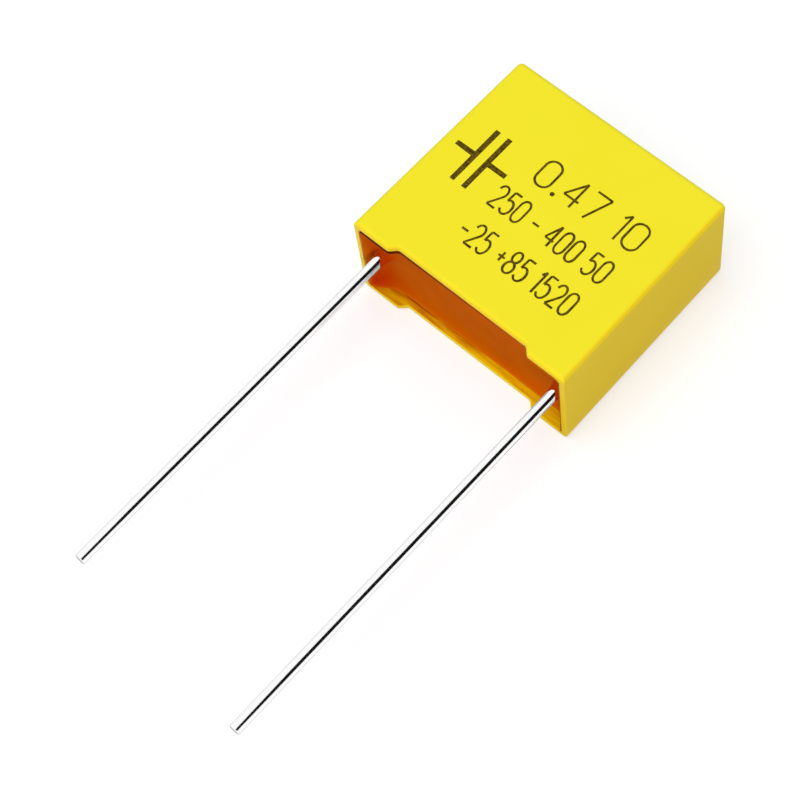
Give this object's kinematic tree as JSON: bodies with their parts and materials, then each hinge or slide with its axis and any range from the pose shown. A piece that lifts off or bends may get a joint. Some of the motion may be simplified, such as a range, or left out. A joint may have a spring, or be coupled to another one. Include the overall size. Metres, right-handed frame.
{
  "type": "box film capacitor",
  "caption": "Radial box film capacitor: moulded case with corner feet round an open end, a recessed cast resin seal and straight wire leads for a circuit board.",
  "frame": {"origin": "midway between the two leads on the seating plane of the feet, at mid thickness of the case", "axes": "+X along the lead pitch, +Y from the feet into the case (the leads point to -Y), +Z out of the marked face; it lies on its back face, which faces -Z"},
  "size_m": [0.0176, 0.0448, 0.0084],
  "materials": {
    "case_plastic": "satin moulded",
    "epoxy_resin": "gloss cast",
    "tinned_wire": "bright tinned",
    "metallised_film": "gloss",
    "sprayed_zinc": "rough sprayed"
  },
  "bodies": {
    "root": {"case": "case_plastic", "potting_resin": "epoxy_resin", "left_lead": "tinned_wire", "right_lead": "tinned_wire", "film_winding": "metallised_film", "left_end_spray": "sprayed_zinc", "right_end_spray": "sprayed_zinc"}
  },
  "joints": []
}
